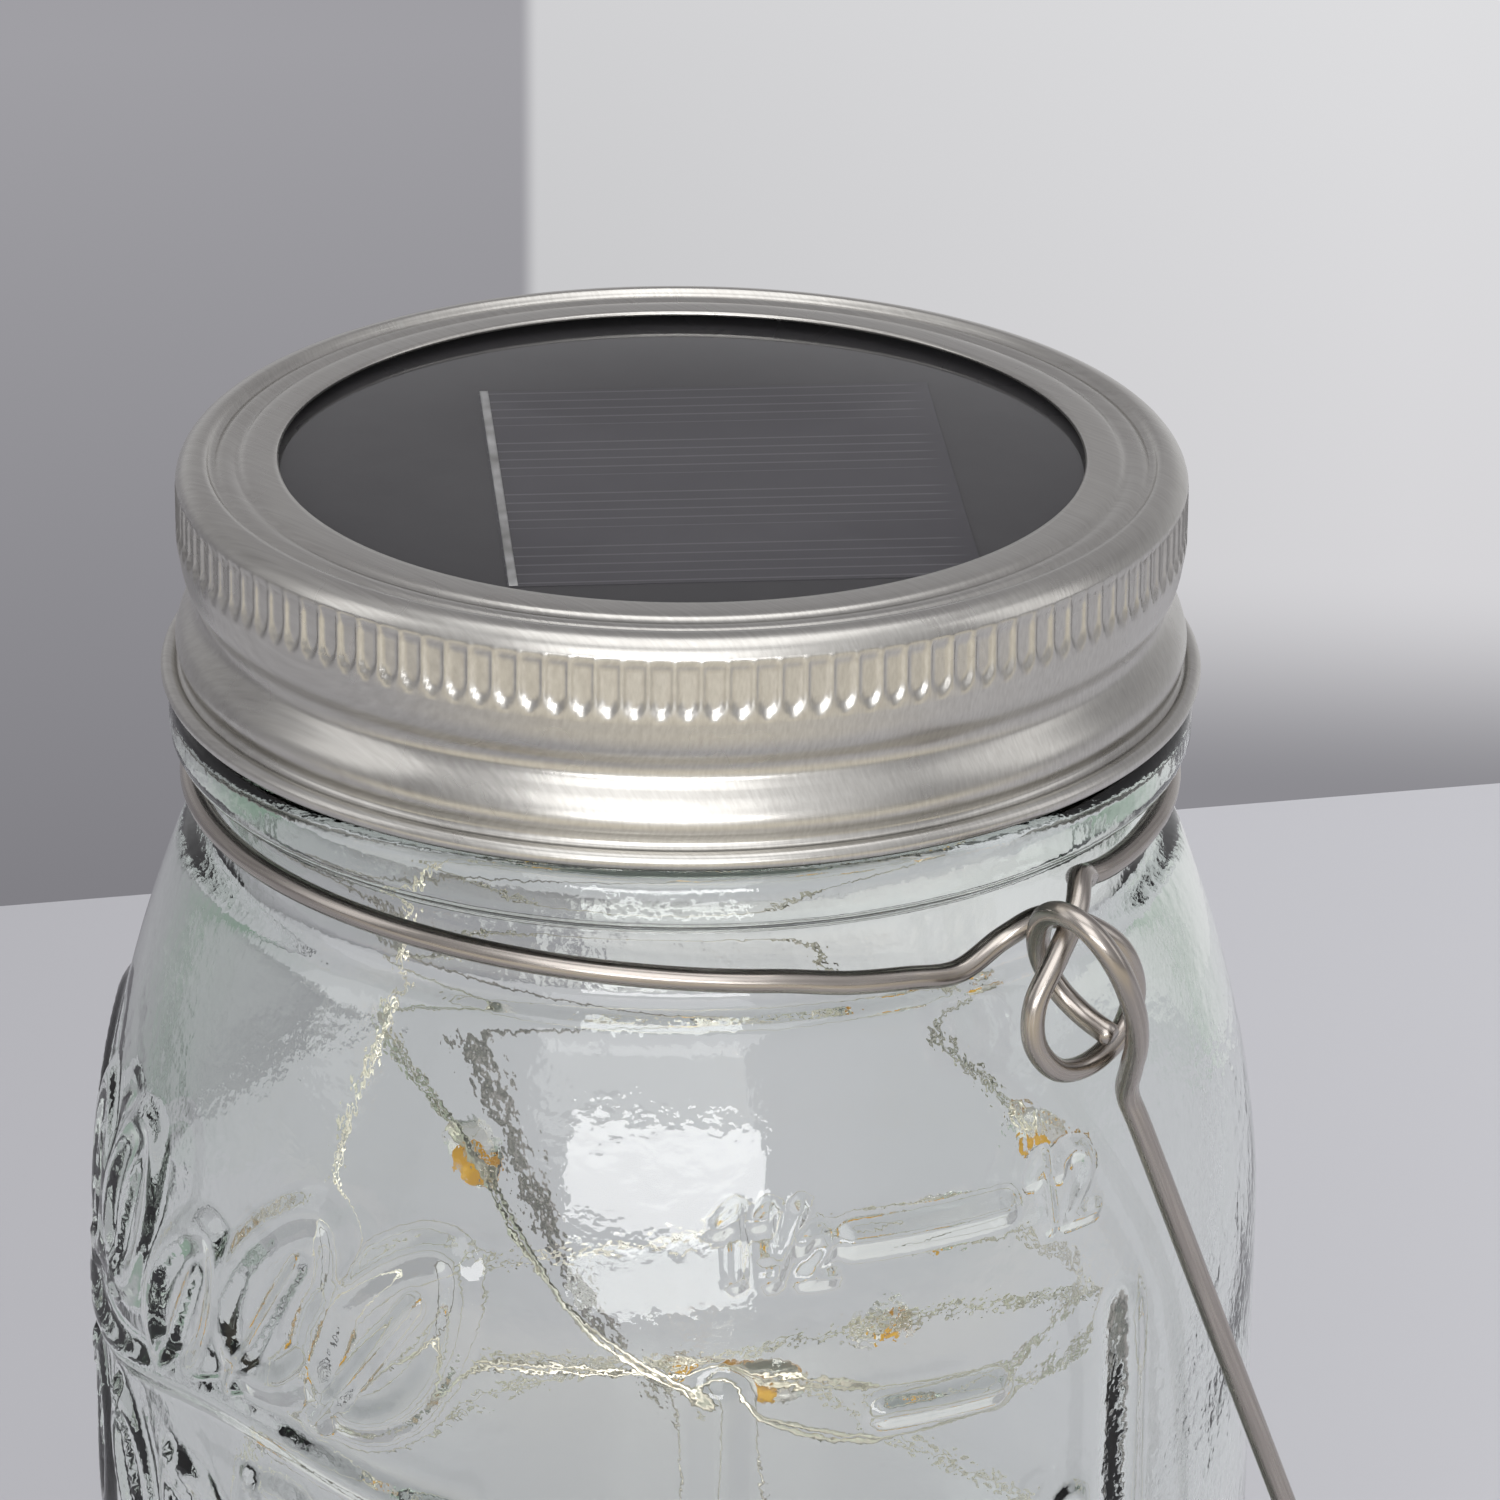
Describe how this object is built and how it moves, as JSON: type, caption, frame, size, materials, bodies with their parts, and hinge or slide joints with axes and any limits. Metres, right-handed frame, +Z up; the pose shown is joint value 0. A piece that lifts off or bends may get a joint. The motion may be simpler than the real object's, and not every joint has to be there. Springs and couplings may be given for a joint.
{
  "type": "mason jar lantern",
  "caption": "Glass mason jar lantern with a solar lid insert under a knurled screw band, a linked wire neck ring and bail handle, and a light string inside.",
  "frame": {"origin": "centre of the base, on the surface that the jar stands on", "axes": "+Z up along the jar's axis; the bail's pivot axis is along X, and at rest the bail leans towards +Y"},
  "size_m": [0.0936, 0.0859, 0.13],
  "materials": {
    "clear_glass": "clear soda-lime glass with a faint green edge",
    "steel_wire": "drawn stainless wire",
    "tinplate": "satin brushed",
    "gasket_rubber": "soft matt",
    "black_plastic": "fine moulded grain",
    "panel_black": "matt",
    "silicon": "dark violet grey under the clear layer",
    "ribbon_tin": "tinned, mottled",
    "panel_resin": "clear glossy layer",
    "lead_red": "PVC",
    "lead_black": "PVC",
    "board_green": "solder mask",
    "chip_black": "moulded",
    "inductor_green": "coated",
    "battery_wrap": "shrink wrap",
    "nickel": "nickel plated",
    "screw_steel": "zinc plated",
    "switch_metal": "plated frame",
    "switch_plastic": "moulded",
    "grommet_rubber": "matt",
    "string_wire": "lacquered silver wire",
    "bead_resin": "clear resin drop",
    "chip_phosphor": "yellow phosphor"
  },
  "bodies": {
    "jar": {"glass_jar": "clear_glass", "neck_ring": "steel_wire"},
    "hanger": {"bail_handle": "steel_wire"},
    "lid": {"rim_gasket": "gasket_rubber", "solar_housing": "black_plastic", "panel_board": "panel_black", "solar_cell": "silicon", "cell_busbar": "ribbon_tin", "panel_cover": "panel_resin", "panel_lead_red": "lead_red", "panel_lead_black": "lead_black", "circuit_board": "board_green", "driver_chip": "chip_black", "inductor": "inductor_green", "battery": "battery_wrap", "contact_spring": "nickel", "contact_plate": "nickel", "bottom_cover": "black_plastic", "cover_screws": "screw_steel", "battery_door": "black_plastic", "door_screw": "screw_steel", "switch_body": "switch_metal", "string_grommet": "grommet_rubber", "light_string": "string_wire", "led_beads": "bead_resin", "led_chips": "chip_phosphor"},
    "band": {"screw_band": "tinplate"},
    "slider": {"switch_slider": "switch_plastic"}
  },
  "joints": [
    {"name": "bail_swing", "type": "hinge", "parent": "jar", "child": "hanger", "pos_m": [0, 0, 0.102], "axis": [1, 0, 0], "range_deg": [0, 308]},
    {"name": "lid_lift", "type": "slide", "parent": "jar", "child": "lid", "axis": [0, 0, 1], "range_m": [0, 0.00508]},
    {"name": "band_turn", "type": "hinge", "parent": "lid", "child": "band", "pos_m": [0, 0, 0.13], "axis": [0, 0, 1], "range_deg": [0, 361]},
    {"name": "switch_slide", "type": "slide", "parent": "lid", "child": "slider", "axis": [1, 0, 0], "range_m": [0, 0.002]}
  ],
  "couplings": [
    {"joint": "band_turn", "follows": "lid_lift", "rad_per_m": 1236.8}
  ]
}
